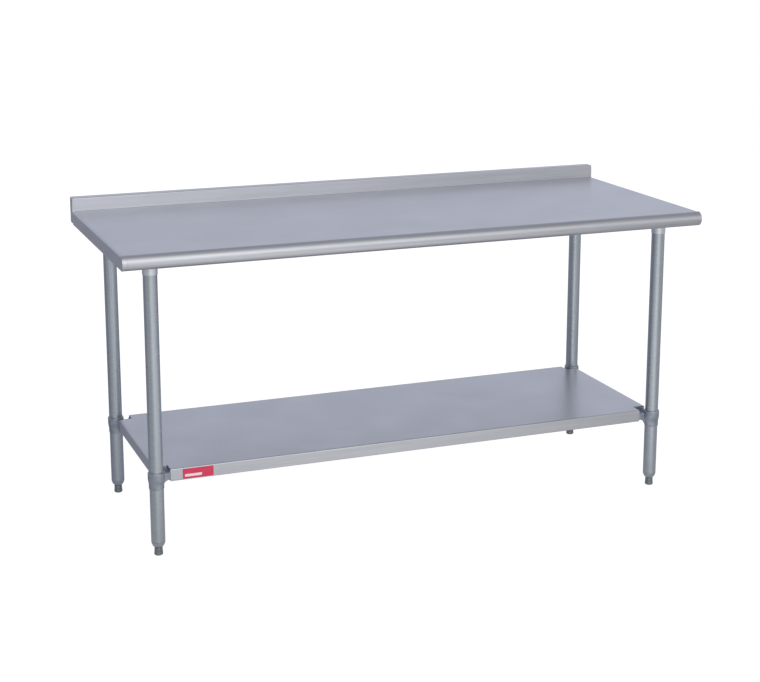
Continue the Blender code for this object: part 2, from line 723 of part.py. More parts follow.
def make_label():
    """A plain plate with nothing written on it, on the shelf's front skirt."""
    half_width = LABEL_SIZE[0] / 2 - LABEL_CORNER
    half_height = LABEL_SIZE[1] / 2 - LABEL_CORNER
    outline = []
    for turn, (x, y) in enumerate(((1, 1), (-1, 1), (-1, -1), (1, -1))):
        centre = (x * half_width, y * half_height)
        outline += arc(centre, LABEL_CORNER, 90 * turn, 90 * turn + 90, 3)
    mesh = flat_outline("shelf_label", outline, LABEL_THICKNESS)
    mesh.transform(Matrix.Rotation(math.pi / 2, 4, "X"))
    front = MID_LEG_Y - SHELF_HALF_Y
    skirt_middle = SHELF_HEIGHT - (SHELF_BEND + SHELF_SKIRT - HEM_BEND) / 2
    location = (LABEL_CENTRE_X, front - GAP - LABEL_THICKNESS / 2, skirt_middle)
    place("shelf_label", mesh, LABEL_RED, location)


clear_scene()
parts = new_collection("stainless_work_table")
helpers = new_collection("cutters")
STAINLESS = metal("brushed stainless steel", (0.55, 0.57, 0.60), 0.32)
TUBE_STEEL = metal("polished steel tube", (0.42, 0.45, 0.48), 0.28)
CAST_ALUMINIUM = metal("cast aluminium", (0.45, 0.49, 0.56), 0.45)
GALVANISED = metal("galvanised steel", (0.50, 0.52, 0.54), 0.50)
ZINC_PLATE = metal("zinc plated steel", (0.48, 0.48, 0.46), 0.35)
FOOT_METAL = metal("turned stainless steel", (0.30, 0.33, 0.35), 0.40)
MASTIC = metal("sound deadening mastic", (0.03, 0.03, 0.03), 0.90, 0.0)
LABEL_RED = metal("red vinyl", (0.55, 0.02, 0.04), 0.40, 0.0)
SET_SCREW = set_screw_mesh()
make_worktop()
make_rim_end_caps()
make_riser_end_caps()
make_channels()
make_sockets()
make_legs()
make_foot_inserts()
make_feet()
make_undershelf()
make_collars()
make_label()
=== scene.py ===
"""The looks of a stainless work table with an adjustable undershelf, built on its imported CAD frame.

Units are metres and +Z is up. -Y is the side that a person works at, and +X is to that person's right.
"""

import math

import bmesh
import bpy
from mathutils import Matrix, Vector


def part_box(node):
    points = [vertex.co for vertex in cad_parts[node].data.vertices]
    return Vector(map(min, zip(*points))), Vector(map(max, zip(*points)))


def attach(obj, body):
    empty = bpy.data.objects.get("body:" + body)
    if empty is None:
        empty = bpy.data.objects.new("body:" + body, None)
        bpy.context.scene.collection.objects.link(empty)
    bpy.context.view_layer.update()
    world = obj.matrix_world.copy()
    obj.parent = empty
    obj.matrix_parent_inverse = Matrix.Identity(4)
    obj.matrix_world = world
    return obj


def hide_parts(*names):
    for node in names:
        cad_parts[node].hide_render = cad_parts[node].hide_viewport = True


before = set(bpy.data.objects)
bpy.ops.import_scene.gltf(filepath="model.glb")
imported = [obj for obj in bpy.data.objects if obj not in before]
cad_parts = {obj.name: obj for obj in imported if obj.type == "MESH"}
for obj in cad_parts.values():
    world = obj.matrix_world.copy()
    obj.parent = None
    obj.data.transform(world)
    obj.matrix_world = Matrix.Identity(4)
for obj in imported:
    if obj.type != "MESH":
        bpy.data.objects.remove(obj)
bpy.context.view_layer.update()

# What the CAD nodes say about the sizes
TOP_LOW, TOP_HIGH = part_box("worktop")
SHELF_LOW, SHELF_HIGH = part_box("undershelf")
CAP_LOW, CAP_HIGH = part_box("rim_end_cap_left")
RISER_CAP_LOW, RISER_CAP_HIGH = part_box("riser_end_cap_left")
COLLAR_LOW, COLLAR_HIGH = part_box("shelf_collar_front_left")
SOCKET_LOW, SOCKET_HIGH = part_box("leg_socket_front_left")
LEG_LOW, LEG_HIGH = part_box("leg_front_left")
INSERT_LOW, INSERT_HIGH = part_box("leg_insert_front_left")
FOOT_LOW, FOOT_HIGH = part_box("foot_front_left")
STEM_LOW, STEM_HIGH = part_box("foot_stem_front_left")
STUD_LOW, STUD_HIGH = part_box("weld_stud_1")
NUT_LOW, NUT_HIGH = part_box("channel_nut_1")
LABEL_LOW, LABEL_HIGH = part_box("shelf_label")
CORNERS = ("front_left", "front_right", "rear_right", "rear_left")

GAP = 0.0003  # between pieces that touch
MERGE = 0.00001

# Sheet of the top
TOP_GAUGE = 0.0015
COVE_RADIUS = 0.002
WORK_HEIGHT = CAP_HIGH.z
RIM_RADIUS = (CAP_HIGH.z - CAP_LOW.z) / 2
RIM_RETURN = 0.012
RISER_FACE_Y = RISER_CAP_LOW.y + COVE_RADIUS - GAP
END_ROUND = 0.006
STRIP_END = TOP_HIGH.x - END_ROUND
SHEET_BEND = 0.003
HEM = 0.012
HEM_BEND = 0.0025

# Sheet of the undershelf
SHELF_GAUGE = 0.0012
SHELF_BEND = 0.0035
SHELF_NOTCH = 0.041
SHELF_INSET = 0.002  # of the skirts' outer faces from the lines between leg centres

# Legs, sockets, collars and feet
LEG_RADIUS = (LEG_HIGH.x - LEG_LOW.x) / 2
TUBE_WALL = 0.0015
BORE_RADIUS = LEG_RADIUS + GAP
SOCKET_RADIUS = 0.0221
SOCKET_FLANGE_RADIUS = 0.034
SOCKET_FLANGE = 0.0035
SOCKET_SCREW_DEPTH = 0.0165
COLLAR_TOP_RADIUS = 0.0248
COLLAR_BOTTOM_RADIUS = 0.0223
COLLAR_HEIGHT = COLLAR_HIGH.z - COLLAR_LOW.z
FIN_THICKNESS = 0.008
FIN_REACH = 0.066
FIN_HEIGHT = 0.032
FIN_SWEEP = 0.017
FIN_SADDLE = 0.011  # of a fin's top inside the shelf's notch, below the collar's top
FIN_OFFSET = SHELF_INSET + SHELF_GAUGE + GAP + FIN_THICKNESS / 2
NOTCH_REACH = SHELF_INSET + SHELF_NOTCH  # from the leg's axis
WEB_THICKNESS = 0.004
WEB_DEPTH = 0.022
GUSSET_STEP = 0.001
COLLAR_SCREW_DEPTH = 0.032
BOSS_RADIUS = 0.0075
BOSS_REACH = 0.031
SCREW_RADIUS = 0.004
SCREW_LENGTH = 0.0105
HEX_RADIUS = 0.0023
HEX_DEPTH = 0.005
STEM_RADIUS = (STEM_HIGH.x - STEM_LOW.x) / 2
FOOT_TRAVEL = 0.025  # down from rest, so the studio's floor is this much lower and stays clear of the feet
FOOT_RADIUS = (FOOT_HIGH.x - FOOT_LOW.x) / 2

QUARTER = math.pi / 2


# ---------------------------------------------------------------- camera and studio


def make_camera():
    data = bpy.data.cameras.new("camera")
    data.lens = 76.61
    data.sensor_width = 36
    data.shift_y = -0.10
    camera = bpy.data.objects.new("camera", data)
    bpy.context.scene.collection.objects.link(camera)
    camera.location = (-1.8057, -4.6451, 1.8523)
    camera.rotation_euler = (math.radians(90 - 12.575), 0, math.radians(-21.075))
    bpy.context.scene.camera = camera


def linear(hex_colour):
    """An sRGB hex colour as linear red, green, blue and alpha."""
    channels = [int(hex_colour[start : start + 2], 16) / 255 for start in (1, 3, 5)]
    return (*[c / 12.92 if c <= 0.04045 else ((c + 0.055) / 1.055) ** 2.4 for c in channels], 1.0)


def node(tree, kind, values=None, links=None, **settings):
    """Adds a shader node with its settings, input values and the outputs linked to its inputs."""
    added = tree.nodes.new("ShaderNode" + kind)
    for name, value in settings.items():
        setattr(added, name, value)
    for socket, value in (values or {}).items():
        added.inputs[socket].default_value = value
    for socket, source in (links or {}).items():
        tree.links.new(source, added.inputs[socket])
    return added


def ramp(tree, source, stops):
    """A smooth ramp of greys with (position, level) stops."""
    added = node(tree, "ValToRGB", links={"Fac": source})
    band = added.color_ramp
    band.interpolation = "B_SPLINE"
    while len(band.elements) < len(stops):
        band.elements.new(0.5)
    for element, (position, level) in zip(band.elements, stops):
        element.position = position
        element.color = (level, level, level, 1.0)
    return added.outputs["Color"]


def between(tree, source, low, high, out_low, out_high, shape="LINEAR"):
    """A value that goes from out_low to out_high while the source goes from low to high."""
    values = {"From Min": low, "From Max": high, "To Min": out_low, "To Max": out_high}
    return node(tree, "MapRange", values, {"Value": source}, interpolation_type=shape).outputs[0]


def mixed(tree, factor, first, second, blend="MIX"):
    """The blend of two colours. Each argument is a constant or another node's output."""
    added = node(tree, "Mix", data_type="RGBA", blend_type=blend)
    for socket, value in (("Factor", factor), ("A", first), ("B", second)):
        if isinstance(value, bpy.types.NodeSocket):
            tree.links.new(value, added.inputs[socket])
        else:
            added.inputs[socket].default_value = value
    return added.outputs["Result"]


def make_studio():
    """A white studio: grey walls that differ round the table, and a broad softbox low in front of it."""
    scene = bpy.context.scene
    scene.view_settings.view_transform = "Standard"
    world = bpy.data.worlds.new("studio")
    scene.world = world
    world.use_nodes = True
    tree = world.node_tree
    tree.nodes.clear()
    direction = node(tree, "TexCoord").outputs["Generated"]
    parts = node(tree, "SeparateXYZ", links={0: direction})
    # Azimuth from 0 to 1: 0.5 is +Y, 0.75 is +X, 0 and 1 are -Y, 0.25 is -X.
    turn = node(tree, "Math", links={0: parts.outputs["X"], 1: parts.outputs["Y"]}, operation="ARCTAN2")
    azimuth = between(tree, turn.outputs[0], -math.pi, math.pi, 0.0, 1.0)
    walls = ramp(
        tree,
        azimuth,
        [(0.0, 0.85), (0.06, 0.75), (0.12, 0.60), (0.22, 0.55), (0.30, 0.52), (0.42, 0.65), (0.50, 1.00),
         (0.535, 1.03), (0.56, 1.05), (0.58, 1.42), (0.60, 2.00), (0.66, 1.50), (0.76, 0.90), (0.84, 0.85),
         (0.91, 0.88), (1.0, 0.85)],
    )
    height = node(tree, "Math", links={0: parts.outputs["Z"]}, operation="ARCSINE").outputs[0]
    upward = between(tree, height, math.radians(16), math.radians(48), 0.0, 1.0, "SMOOTHSTEP")
    room = mixed(tree, upward, walls, (0.44, 0.44, 0.44, 1.0))
    facing = node(
        tree,
        "VectorMath",
        {1: Vector((-0.12, -0.86, 0.50)).normalized()},
        {0: direction},
        operation="DOT_PRODUCT",
    )
    edge, core = math.cos(math.radians(42)), math.cos(math.radians(6))
    softbox = between(tree, facing.outputs["Value"], edge, core, 0.0, 1.25, "SMOOTHSTEP")
    total = mixed(tree, 1.0, room, softbox, "ADD")
    behind = between(tree, parts.outputs["Y"], -0.3, 0.3, 0.0, 1.0, "SMOOTHSTEP")
    tint = mixed(tree, behind, linear("#FAFAFB"), linear("#EDF1FF"))
    tinted = mixed(tree, 1.0, total, tint, "MULTIPLY")
    seen = node(tree, "LightPath").outputs["Is Camera Ray"]
    shown = mixed(tree, seen, tinted, (1.0, 1.0, 1.0, 1.0))
    background = node(tree, "Background", links={"Color": shown})
    node(tree, "OutputWorld", links={"Surface": background.outputs[0]})


def make_floor():
    """A white floor with a faint shadow under the table. In the metal it shows pools of light in front: to
    reflections it is a glow with painted pools of light and painted shade behind the table.
    """
    bm = bmesh.new()
    bmesh.ops.create_circle(bm, cap_ends=True, radius=8, segments=64)
    mesh = bpy.data.meshes.new("floor")
    bm.to_mesh(mesh)
    bm.free()
    floor = bpy.data.objects.new("floor", mesh)
    bpy.context.scene.collection.objects.link(floor)
    floor.location.z = -FOOT_TRAVEL - GAP
    material = bpy.data.materials.new("white studio floor")
    material.use_nodes = True
    tree = material.node_tree
    tree.nodes.clear()
    paint = node(tree, "BsdfDiffuse", {"Color": (0.30, 0.30, 0.30, 1)})
    glow = node(tree, "Emission", {"Color": (1, 1, 1, 1), "Strength": 0.90})
    lit = node(tree, "AddShader", links={0: paint.outputs[0], 1: glow.outputs[0]})
    # Painted light: reflections see an emission, not the lit floor, brighter in two pools in front and
    # darker behind the table, tinted bluish behind.
    place = node(tree, "TexCoord").outputs["Object"]
    away = node(tree, "VectorMath", {1: (0.1, -1.9, 0.0)}, {0: place}, operation="DISTANCE")
    pool = between(tree, away.outputs["Value"], 0.7, 1.8, 0.92, 0.49, "SMOOTHSTEP")
    far_away = node(tree, "VectorMath", {1: (-0.6, -4.1, 0.0)}, {0: place}, operation="DISTANCE")
    far_pool = between(tree, far_away.outputs["Value"], 0.5, 3.4, 0.22, 0.0, "SMOOTHSTEP")
    pools = node(tree, "Math", links={0: pool, 1: far_pool}, operation="ADD")
    depth = node(tree, "SeparateXYZ", links={0: place}).outputs["Y"]
    shade = between(tree, depth, -0.3, 0.7, 1.0, 0.66, "SMOOTHSTEP")
    level = node(tree, "Math", links={0: pools.outputs[0], 1: shade}, operation="MULTIPLY")
    behind = between(tree, depth, -0.5, 0.6, 0.0, 1.0, "SMOOTHSTEP")
    tint = mixed(tree, behind, linear("#FAFAFB"), linear("#E4EAFF"))
    painted_reflected_glow = node(tree, "Emission", links={"Color": tint, "Strength": level.outputs[0]})
    seen = node(tree, "LightPath")
    shown = node(
        tree,
        "MixShader",
        links={0: seen.outputs["Is Glossy Ray"], 1: lit.outputs[0], 2: painted_reflected_glow.outputs[0]},
    )
    node(tree, "OutputMaterial", links={"Surface": shown.outputs[0]})
    mesh.materials.append(material)


# ---------------------------------------------------------------- materials


def new_material(name, base, roughness, metallic=1.0, **inputs):
    """A material with its shader's constant values, and its node tree."""
    material = bpy.data.materials.new(name)
    material.use_nodes = True
    material.node_tree.nodes.clear()
    tree = material.node_tree
    values = {"Base Color": linear(base), "Roughness": roughness, "Metallic": metallic}
    values.update({socket.replace("_", " "): value for socket, value in inputs.items()})
    shader = node(tree, "BsdfPrincipled", values)
    node(tree, "OutputMaterial", links={"Surface": shader.outputs[0]})
    return material, tree, shader


def stretched_noise(tree, size, detail=3.0, seed=0.0):
    """Noise whose features measure size (x, y, z) in metres."""
    place = node(tree, "TexCoord").outputs["Object"]
    scaled = node(
        tree,
        "Mapping",
        {"Scale": tuple(1 / length for length in size), "Location": (seed, seed * 1.7, seed * 2.3)},
        {"Vector": place},
    )
    noise = node(tree, "TexNoise", {"Scale": 1.0, "Detail": detail}, {"Vector": scaled.outputs[0]})
    return noise.outputs["Fac"]


def mixed_colour(tree, factor, first, second):
    """Like mixed, with sRGB hex colours or outputs."""
    ends = [linear(end) if isinstance(end, str) else end for end in (first, second)]
    return mixed(tree, factor, *ends)


def bump(tree, shader, height, distance, strength):
    """Adds a bump of the height's pattern, distance deep, to the shader."""
    added = node(tree, "Bump", {"Distance": distance, "Strength": strength}, {"Height": height})
    tree.links.new(added.outputs[0], shader.inputs["Normal"])


def brushed_stainless(name, long_axis, across, rotation=0.0):
    """304 stainless sheet with a No. 4 finish: belt grain along one axis draws highlights out across it.

    The real grain lines are about 0.1 mm apart. They're drawn 0.6 mm apart, with soft 5 mm streaks, to show.
    """
    material, tree, shader = new_material(
        name, "#C3C5CB", 0.34, Anisotropic=0.72, Anisotropic_Rotation=rotation
    )
    long_size = {"streak": 0.35, "line": 0.05}
    wide_size = {"streak": 0.005, "line": 0.0006}
    sizes = {}
    for kind in long_size:
        sizes[kind] = [wide_size[kind]] * 3
        sizes[kind][long_axis] = long_size[kind]
    streak = stretched_noise(tree, sizes["streak"], 4.0)
    line = stretched_noise(tree, sizes["line"], 2.0, 3.0)
    smudge = stretched_noise(tree, (0.16, 0.16, 0.16), 3.0, 7.0)
    tone = node(tree, "Math", {1: 0.55}, {0: streak}, operation="MULTIPLY")
    tone = node(tree, "Math", {1: 0.45}, {0: line, 2: tone.outputs[0]}, operation="MULTIPLY_ADD")
    base = mixed_colour(tree, between(tree, tone.outputs[0], 0.35, 0.65, 0.0, 1.0), "#BDBFC6", "#C9CBD0")
    tree.links.new(base, shader.inputs["Base Color"])
    rough = node(tree, "Math", {1: 0.5}, {0: smudge, 2: tone.outputs[0]}, operation="MULTIPLY_ADD")
    tree.links.new(between(tree, rough.outputs[0], 0.5, 1.0, 0.29, 0.38), shader.inputs["Roughness"])
    bump(tree, shader, line, 0.00002, 0.5)
    tangent = node(tree, "CombineXYZ", dict(enumerate(across)))
    tree.links.new(tangent.outputs[0], shader.inputs["Tangent"])
    return material


def polished_tube():
    """Welded steel tube, belt polished round its girth: upright reflections stay sharp from side to side.

    The belt's marks are about 0.1 mm apart. They're drawn 2.5 mm apart, to show.
    """
    material, tree, shader = new_material("polished steel tube", "#B6BAC0", 0.30, Anisotropic=0.75)
    ring = stretched_noise(tree, (0.02, 0.02, 0.0025), 3.0)
    cloud = stretched_noise(tree, (0.05, 0.05, 0.25), 3.0, 5.0)
    base = mixed_colour(tree, between(tree, ring, 0.35, 0.65, 0.0, 1.0), "#AEB5BC", "#BAC1C9")
    tree.links.new(base, shader.inputs["Base Color"])
    tree.links.new(between(tree, cloud, 0.3, 0.7, 0.26, 0.34), shader.inputs["Roughness"])
    bump(tree, shader, ring, 0.00002, 0.2)
    tangent = node(tree, "CombineXYZ", {2: 1.0})
    tree.links.new(tangent.outputs[0], shader.inputs["Tangent"])
    return material


def turned_stainless(name, darker, lighter):
    """Lathe-turned stainless: fine tool rings round the axis.

    The rings are about 0.15 mm apart. They're drawn 0.7 mm apart, to show.
    """
    material, tree, shader = new_material(name, darker, 0.34, Anisotropic=0.5)
    ring = stretched_noise(tree, (0.05, 0.05, 0.0007), 2.0)
    base = mixed_colour(tree, between(tree, ring, 0.35, 0.65, 0.0, 1.0), darker, lighter)
    tree.links.new(base, shader.inputs["Base Color"])
    bump(tree, shader, ring, 0.00004, 0.5)
    tangent = node(tree, "CombineXYZ", {2: 1.0})
    tree.links.new(tangent.outputs[0], shader.inputs["Tangent"])
    return material


def cast_aluminium():
    """Sand-cast aluminium with a tumbled skin: dull, with a fine pebble grain and soft grey clouds."""
    material, tree, shader = new_material("cast aluminium", "#A2A9B4", 0.46)
    grain = stretched_noise(tree, (0.0011, 0.0011, 0.0011), 3.0)
    cloud = stretched_noise(tree, (0.018, 0.018, 0.018), 4.0, 2.0)
    base = mixed_colour(tree, between(tree, cloud, 0.3, 0.7, 0.0, 1.0), "#949CA9", "#B0B6C0")
    tree.links.new(base, shader.inputs["Base Color"])
    tree.links.new(between(tree, grain, 0.3, 0.7, 0.40, 0.54), shader.inputs["Roughness"])
    bump(tree, shader, grain, 0.00012, 0.6)
    return material


def galvanised_steel():
    """Hot-dip galvanised steel: frosty crystals of zinc, 8 to 12 mm across, each its own grey."""
    material, tree, shader = new_material("galvanised steel", "#A6A9AB", 0.45)
    place = node(tree, "TexCoord").outputs["Object"]
    crystals = node(
        tree, "TexVoronoi", {"Scale": 1 / 0.010, "Randomness": 1.0}, {"Vector": place}, feature="F1"
    )
    grey = node(tree, "SeparateColor", links={0: crystals.outputs["Color"]}).outputs[0]
    base = mixed_colour(tree, grey, "#959A9D", "#B6B9BA")
    tree.links.new(base, shader.inputs["Base Color"])
    tree.links.new(between(tree, grey, 0.0, 1.0, 0.36, 0.55), shader.inputs["Roughness"])
    bump(tree, shader, stretched_noise(tree, (0.003, 0.003, 0.003)), 0.00005, 0.4)
    return material


def zinc_plate():
    """Bright zinc plate on steel screws: pale metal with a faint yellow and blue passivation bloom."""
    material, tree, shader = new_material("zinc plated steel", "#B2B2A9", 0.32)
    bloom = stretched_noise(tree, (0.004, 0.004, 0.004), 2.0)
    base = mixed_colour(tree, between(tree, bloom, 0.35, 0.65, 0.0, 1.0), "#B7B3A0", "#A9B0B4")
    tree.links.new(base, shader.inputs["Base Color"])
    tree.links.new(between(tree, bloom, 0.3, 0.7, 0.26, 0.40), shader.inputs["Roughness"])
    return material


def deadening_mastic():
    """Bitumen sheet that damps the top: black, matt and slightly pebbled."""
    material, tree, shader = new_material("deadening mastic", "#1C1C1D", 0.85, 0.0)
    pebble = stretched_noise(tree, (0.0025, 0.0025, 0.0025), 4.0)
    base = mixed_colour(tree, between(tree, pebble, 0.3, 0.7, 0.0, 1.0), "#171718", "#29292A")
    tree.links.new(base, shader.inputs["Base Color"])
    bump(tree, shader, pebble, 0.0004, 0.8)
    return material


def label_vinyl():
    """Calendered red vinyl film with a pale strip left blank: smooth, with a faint orange peel."""
    material, tree, shader = new_material("red vinyl", "#C2284C", 0.34, 0.0)
    place = node(tree, "TexCoord").outputs["Generated"]
    parts = node(tree, "SeparateXYZ", links={0: place})
    edge = 0.01
    sides = []
    for axis, low, high in (("X", 0.07, 0.62), ("Z", 0.20, 0.46)):
        sides.append(between(tree, parts.outputs[axis], low - edge, low + edge, 0.0, 1.0))
        sides.append(between(tree, parts.outputs[axis], high + edge, high - edge, 0.0, 1.0))
    inside = sides[0]
    for side in sides[1:]:
        inside = node(tree, "Math", links={0: inside, 1: side}, operation="MULTIPLY").outputs[0]
    fade = stretched_noise(tree, (0.01, 0.01, 0.01), 3.0)
    red = mixed_colour(tree, between(tree, fade, 0.3, 0.7, 0.0, 1.0), "#BE2347", "#CC3355")
    tree.links.new(mixed_colour(tree, inside, red, "#E6C9CF"), shader.inputs["Base Color"])
    bump(tree, shader, stretched_noise(tree, (0.0015, 0.0015, 0.0015)), 0.00004, 0.5)
    return material


# ---------------------------------------------------------------- shapes


def arc(centre, radius, start, end, steps):
    """Points on an arc in a plane, with its angles in degrees."""
    points = []
    for step in range(steps + 1):
        angle = math.radians(start + (end - start) * step / steps)
        points.append((centre[0] + radius * math.cos(angle), centre[1] + radius * math.sin(angle)))
    return points


def finished(source, name, sharp=35):
    """A clean, smooth-shaded mesh from a bmesh or a mesh."""
    if isinstance(source, bpy.types.Mesh):
        bm = bmesh.new()
        bm.from_mesh(source)
    else:
        bm = source
    bmesh.ops.remove_doubles(bm, verts=bm.verts, dist=MERGE)
    bmesh.ops.recalc_face_normals(bm, faces=bm.faces)
    mesh = bpy.data.meshes.new(name)
    bm.to_mesh(mesh)
    bm.free()
    mesh.shade_smooth()
    mesh.set_sharp_from_angle(angle=math.radians(sharp))
    return mesh


def piece(name, mesh, materials, body, slot, *replaced, at=(0, 0, 0), turn=0.0):
    """Adds a visible piece that rides on its body and stands for the CAD nodes named."""
    if not mesh.materials:
        for material in materials:
            mesh.materials.append(material)
    obj = bpy.data.objects.new(name, mesh)
    bpy.context.scene.collection.objects.link(obj)
    obj.location = at
    obj.rotation_euler.z = turn
    level = obj.modifiers.new("level flats", "WEIGHTED_NORMAL")
    level.keep_sharp = True
    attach(obj, body)
    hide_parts(*replaced)
    return obj


def applied(obj, *used):
    """The shape of an object with its modifiers applied. It and the helpers that it used are removed."""
    bpy.context.view_layer.update()
    depsgraph = bpy.context.evaluated_depsgraph_get()
    mesh = bpy.data.meshes.new_from_object(obj.evaluated_get(depsgraph))
    for helper in (obj, *used):
        bpy.data.objects.remove(helper)
    return mesh


def helper(mesh, matrix=None):
    """An object that only shapes another one."""
    obj = bpy.data.objects.new("helper", mesh)
    bpy.context.scene.collection.objects.link(obj)
    if matrix:
        obj.matrix_world = matrix
    return obj


def combined(obj, others, operation):
    for other in others:
        modifier = obj.modifiers.new(operation.lower(), "BOOLEAN")
        modifier.operation = operation
        modifier.object = other


def revolved(profile, sides, closed=False):
    """A turned bmesh from (radius, height) points."""
    bm = bmesh.new()
    verts = [bm.verts.new((radius, 0, height)) for radius, height in profile]
    edges = [bm.edges.new(pair) for pair in zip(verts, verts[1:])]
    if closed:
        edges.append(bm.edges.new((verts[-1], verts[0])))
    bmesh.ops.spin(
        bm,
        geom=verts + edges,
        cent=(0, 0, 0),
        axis=(0, 0, 1),
        angle=2 * math.pi,
        steps=sides,
    )
    bmesh.ops.remove_doubles(bm, verts=bm.verts, dist=MERGE)
    return bm


def rod(radius, length, sides=48):
    """A cylinder along +Z from its origin."""
    bm = bmesh.new()
    start = Matrix.Translation((0, 0, length / 2))
    bmesh.ops.create_cone(
        bm, cap_ends=True, segments=sides, radius1=radius, radius2=radius, depth=length, matrix=start
    )
    return finished(bm, "rod")


def plate(outline, thickness, rounding=0.0, segments=6, rounded=None):
    """A bmesh plate from an (x, y) outline, from z 0 up, with its upper edge rounded.

    Where rounded is given, only the points that it accepts are.
    """
    bm = bmesh.new()
    face = bm.faces.new([bm.verts.new((x, y, 0)) for x, y in outline])
    grown = bmesh.ops.extrude_face_region(bm, geom=[face])["geom"]
    upper = [item for item in grown if isinstance(item, bmesh.types.BMVert)]
    bmesh.ops.translate(bm, verts=upper, vec=(0, 0, thickness))
    bmesh.ops.recalc_face_normals(bm, faces=bm.faces)
    if rounding:
        rim = [
            edge
            for edge in bm.edges
            if all(
                vert.co.z > thickness / 2 and (rounded is None or rounded(vert.co)) for vert in edge.verts
            )
        ]
        bmesh.ops.bevel(
            bm, geom=rim, offset=rounding, offset_type="OFFSET", segments=segments, profile=0.5,
            affect="EDGES", clamp_overlap=True,
        )
    return bm


def threaded(radius, pitch, length, chamfer, sides=32, rows_per_turn=8):
    """A bmesh screw thread along +Z from its origin, cut as one helix with chamfered ends."""
    depth = 0.61 * pitch
    rows = round(length / pitch * rows_per_turn)
    bm = bmesh.new()
    rings = []
    for row in range(rows + 1):
        z = length * row / rows
        limit = radius - max(0.0, chamfer - min(z, length - z))
        ring = []
        for side in range(sides):
            phase = (z / pitch - side / sides) % 1.0
            groove = min(1.0, max(0.0, 1.25 * abs(2 * phase - 1) - 0.125))
            r = min(limit, radius - depth * groove)
            angle = 2 * math.pi * side / sides
            ring.append(bm.verts.new((r * math.cos(angle), r * math.sin(angle), z)))
        rings.append(ring)
    for lower, upper in zip(rings, rings[1:]):
        for side in range(sides):
            after = (side + 1) % sides
            bm.faces.new((lower[side], lower[after], upper[after], upper[side]))
    bm.faces.new(reversed(rings[0]))
    bm.faces.new(rings[-1])
    return bm


def extruded(section, stations):
    """An open bmesh sheet from a (y, z) section, with its faces divided at the stations along X."""
    bm = bmesh.new()
    rows = [[bm.verts.new((x, y, z)) for y, z in section] for x in stations]
    for near, far in zip(rows, rows[1:]):
        for first in range(len(section) - 1):
            bm.faces.new((near[first], near[first + 1], far[first + 1], far[first]))
    return bm


def fold_down(bm, edges, outward, bend, drop):
    """Extrudes boundary edges out and down round a bend, and then in again as a hem."""
    profile = [(x, bend - z) for x, z in arc((0, 0), bend, 90, 0, 10)][1:]
    profile += [(x, drop - HEM_BEND - z) for x, z in arc((bend - HEM_BEND, 0), HEM_BEND, 0, -90, 8)]
    profile.append((bend - HEM, drop))
    previous = (0.0, 0.0)
    for out, down in profile:
        grown = bmesh.ops.extrude_edge_only(bm, edges=edges)["geom"]
        moved = [item for item in grown if isinstance(item, bmesh.types.BMVert)]
        edges = [item for item in grown if isinstance(item, bmesh.types.BMEdge)]
        step = Vector(outward) * (out - previous[0]) - Vector((0, 0, down - previous[1]))
        bmesh.ops.translate(bm, verts=moved, vec=step)
        edges = [edge for edge in edges if all(vert in moved for vert in edge.verts)]
        previous = (out, down)


def sheet_mesh(bm, name, gauge):
    """Thickens an open bmesh sheet downwards."""
    bmesh.ops.recalc_face_normals(bm, faces=bm.faces)
    top = max(bm.faces, key=lambda face: face.calc_area())
    if top.normal.z < 0:
        bmesh.ops.reverse_faces(bm, faces=bm.faces)
    flat = bpy.data.meshes.new(name)
    bm.to_mesh(flat)
    bm.free()
    obj = helper(flat)
    sheet = obj.modifiers.new("gauge", "SOLIDIFY")
    sheet.thickness = gauge
    sheet.offset = -1
    sheet.use_even_offset = True
    return grained(finished(applied(obj), name))


def grained(mesh):
    """Gives the faces that look along X the second material, whose grain runs upright."""
    for face in mesh.polygons:
        face.material_index = int(abs(face.normal.x) > 0.75)
    return mesh


# ---------------------------------------------------------------- pieces of the top


def make_worktop():
    nose = TOP_LOW.y
    back = TOP_HIGH.y
    roll = (nose + RIM_RADIUS, WORK_HEIGHT - RIM_RADIUS)
    section = [(roll[0] + RIM_RETURN, WORK_HEIGHT - 2 * RIM_RADIUS)]
    section += arc(roll, RIM_RADIUS, 270, 90, 60)
    section += arc((RISER_FACE_Y - COVE_RADIUS, WORK_HEIGHT + COVE_RADIUS), COVE_RADIUS, -90, 0, 12)
    section += arc((RISER_FACE_Y + SHEET_BEND, TOP_HIGH.z - SHEET_BEND), SHEET_BEND, 180, 90, 10)
    section += arc((back - SHEET_BEND, TOP_HIGH.z - SHEET_BEND), SHEET_BEND, 90, 0, 10)
    section += arc((back - HEM_BEND, TOP_LOW.z + HEM_BEND), HEM_BEND, 0, -90, 8)
    section.append((back - HEM, TOP_LOW.z))
    roll_end = -(CAP_HIGH.x + GAP)
    bm = extruded(section, (-STRIP_END, -roll_end, roll_end, STRIP_END))
    beyond_roll = [
        face
        for face in bm.faces
        if abs(face.calc_center_median().x) > roll_end
        and face.calc_center_median().y < 0
        and face.calc_center_median().z < WORK_HEIGHT - MERGE
    ]
    bmesh.ops.delete(bm, geom=beyond_roll, context="FACES")
    for side in (-1, 1):
        ends = [
            edge
            for edge in bm.edges
            if edge.is_boundary
            and all(vert.co.x * side > STRIP_END - MERGE for vert in edge.verts)
            and all(abs(vert.co.z - WORK_HEIGHT) < MERGE for vert in edge.verts)
        ]
        fold_down(bm, ends, (side, 0, 0), END_ROUND, WORK_HEIGHT - TOP_LOW.z)
    mesh = sheet_mesh(bm, "worktop_sheet", TOP_GAUGE)
    piece("worktop_sheet", mesh, (STEEL, STEEL_ENDS), "table_frame", "brushed_stainless", "worktop")


